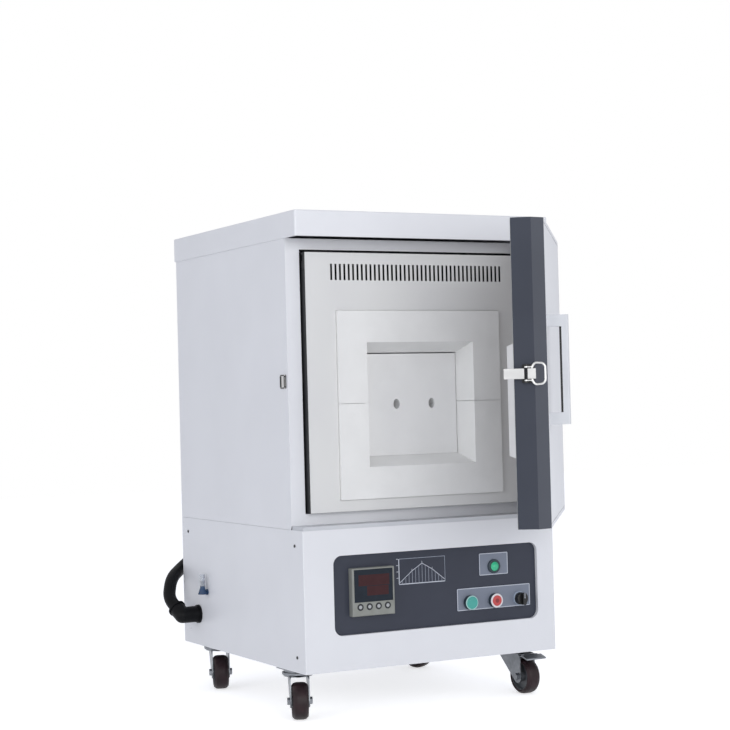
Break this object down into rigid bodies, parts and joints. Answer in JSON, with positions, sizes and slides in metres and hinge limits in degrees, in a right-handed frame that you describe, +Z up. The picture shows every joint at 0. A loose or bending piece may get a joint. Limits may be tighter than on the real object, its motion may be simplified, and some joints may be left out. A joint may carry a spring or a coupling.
{
  "type": "muffle furnace",
  "caption": "Front-loading laboratory muffle furnace on casters, with a side-hung insulated door, refractory mouth and loose plug, and a control base with a side conduit",
  "frame": {"origin": "on the floor, under the middle of the cabinet", "axes": "+Z up, +Y towards the back of the furnace, +X to the right seen from the front"},
  "size_m": [0.6856, 1.1796, 1.02],
  "materials": {
    "cabinet_paint": "satin light grey powder coat",
    "tray_paint": "satin grey paint",
    "door_paint": "satin dark slate powder coat",
    "panel_paint": "satin light grey powder coat",
    "inner_steel": "satin warm white coat",
    "fascia_paint": "matt dark slate coat",
    "sub_plate": "grey-blue printed plate",
    "instrument": "matt grey plastic",
    "display": "smoked gloss window",
    "key_cap": "matt grey rubbery keys",
    "bezel": "pale rings",
    "lamp": "green lens",
    "green": "green cap",
    "red": "red cap",
    "black_plastic": "matt black",
    "refractory": "rough white fibre board",
    "hearth": "fired hearth plate",
    "elements": "dark heating elements",
    "sheath": "ceramic sheath",
    "gasket": "white sealing strip",
    "zinc": "zinc plated",
    "latch_steel": "bright plated",
    "hinge_steel": "plated",
    "tread": "dark maroon tread",
    "hose": "black flexible conduit",
    "fitting": "dark blue fitting",
    "tube": "clear tube",
    "winding": "varnished core and coils"
  },
  "bodies": {
    "cabinet": {"base_cabinet": "cabinet_paint", "upper_shell": "cabinet_paint", "front_frame": "cabinet_paint", "top_cap": "cabinet_paint", "rear_cover": "cabinet_paint", "sill_tray": "tray_paint", "slotted_panel": "inner_steel", "inner_casing": "inner_steel", "casing_rails": "inner_steel", "control_fascia": "fascia_paint", "control_plates": "sub_plate", "controller_case": "instrument", "display_window": "display", "controller_keys": "key_cap", "device_housings": "bezel", "signal_lamp": "lamp", "panel_lug": "black_plastic", "mouth_block_upper": "refractory", "mouth_block_lower": "refractory", "chamber_boards": "refractory", "hearth_plate": "hearth", "heating_elements": "elements", "thermocouple": "sheath", "caster_plates": "zinc", "side_screws": "zinc", "latch_keeper": "latch_steel", "hinge_leaves": "hinge_steel", "hinge_pins": "hinge_steel", "conduit": "hose", "conduit_elbow": "hose", "rear_gland": "hose", "mains_gland": "hose", "gas_fitting": "fitting", "gas_tube": "tube", "transformer": "winding"},
    "door": {"door_shell": "door_paint", "door_panel": "panel_paint", "door_liner": "inner_steel", "door_plug": "refractory", "door_gasket": "gasket", "door_handle": "panel_paint", "handle_grip": "black_plastic", "door_hinge_leaves": "hinge_steel", "latch_base": "latch_steel"},
    "latch_lever": {"latch_lever": "latch_steel"},
    "latch_hook": {"latch_hook": "latch_steel"},
    "inner_plug": {"inner_plug": "refractory"},
    "start_button": {"start_button": "green"},
    "stop_button": {"stop_button": "red"},
    "selector_knob": {"selector_knob": "black_plastic"},
    "fork_front_left": {"fork_front_left": "zinc"},
    "wheel_front_left": {"wheel_front_left": "tread"},
    "fork_front_right": {"fork_front_right": "zinc"},
    "wheel_front_right": {"wheel_front_right": "tread"},
    "fork_rear_left": {"fork_rear_left": "zinc"},
    "wheel_rear_left": {"wheel_rear_left": "tread"},
    "fork_rear_right": {"fork_rear_right": "zinc"},
    "wheel_rear_right": {"wheel_rear_right": "tread"},
    "brake_front_right": {"brake_front_right": "zinc"},
    "brake_rear_right": {"brake_rear_right": "zinc"}
  },
  "joints": [
    {"name": "door_hinge", "type": "hinge", "parent": "cabinet", "child": "door", "pos_m": [0.291, -0.275, 0.68], "axis": [0, 0, 1], "range_deg": [-53.35, 55]},
    {"name": "latch_lever_pivot", "type": "hinge", "parent": "door", "child": "latch_lever", "pos_m": [-0.0479, -0.76148, 0.6795], "axis": [0, 0, -1], "range_deg": [0, 20]},
    {"name": "latch_hook_pivot", "type": "hinge", "parent": "latch_lever", "child": "latch_hook", "pos_m": [-0.03907, -0.76805, 0.6795], "axis": [0, 0, 1], "range_deg": [-3.5, 60]},
    {"name": "inner_plug_slide", "type": "slide", "parent": "cabinet", "child": "inner_plug", "axis": [0, -1, 0], "range_m": [0, 0.2]},
    {"name": "start_press", "type": "slide", "parent": "cabinet", "child": "start_button", "axis": [0, 1, 0], "range_m": [0, 0.004]},
    {"name": "stop_press", "type": "slide", "parent": "cabinet", "child": "stop_button", "axis": [0, 1, 0], "range_m": [0, 0.004]},
    {"name": "selector_turn", "type": "hinge", "parent": "cabinet", "child": "selector_knob", "pos_m": [0.2095, -0.32, 0.214], "axis": [0, -1, 0], "range_deg": [-45, 45]},
    {"name": "swivel_front_left", "type": "hinge", "parent": "cabinet", "child": "fork_front_left", "pos_m": [-0.261, -0.211, 0.09], "axis": [0, 0, 1], "continuous": true},
    {"name": "roll_front_left", "type": "hinge", "parent": "fork_front_left", "child": "wheel_front_left", "pos_m": [-0.27411, -0.24345, 0.0375], "axis": [0.9272, -0.3746, 0], "continuous": true},
    {"name": "swivel_front_right", "type": "hinge", "parent": "cabinet", "child": "fork_front_right", "pos_m": [0.261, -0.211, 0.09], "axis": [0, 0, 1], "continuous": true},
    {"name": "roll_front_right", "type": "hinge", "parent": "fork_front_right", "child": "wheel_front_right", "pos_m": [0.26222, -0.24598, 0.0375], "axis": [0.9994, 0.0349, 0], "continuous": true},
    {"name": "pedal_front_right", "type": "hinge", "parent": "fork_front_right", "child": "brake_front_right", "pos_m": [0.26233, -0.24898, 0.0805], "axis": [0.9994, 0.0349, 0], "range_deg": [0, 5]},
    {"name": "swivel_rear_left", "type": "hinge", "parent": "cabinet", "child": "fork_rear_left", "pos_m": [-0.241, 0.249, 0.09], "axis": [0, 0, 1], "continuous": true},
    {"name": "roll_rear_left", "type": "hinge", "parent": "fork_rear_left", "child": "wheel_rear_left", "pos_m": [-0.25182, 0.21571, 0.0375], "axis": [0.9511, -0.309, 0], "continuous": true},
    {"name": "swivel_rear_right", "type": "hinge", "parent": "cabinet", "child": "fork_rear_right", "pos_m": [0.241, 0.249, 0.09], "axis": [0, 0, 1], "continuous": true},
    {"name": "roll_rear_right", "type": "hinge", "parent": "fork_rear_right", "child": "wheel_rear_right", "pos_m": [0.2585, 0.21869, 0.0375], "axis": [0.866, 0.5, 0], "continuous": true},
    {"name": "pedal_rear_right", "type": "hinge", "parent": "fork_rear_right", "child": "brake_rear_right", "pos_m": [0.26, 0.21609, 0.0805], "axis": [0.866, 0.5, 0], "range_deg": [0, 5]}
  ]
}
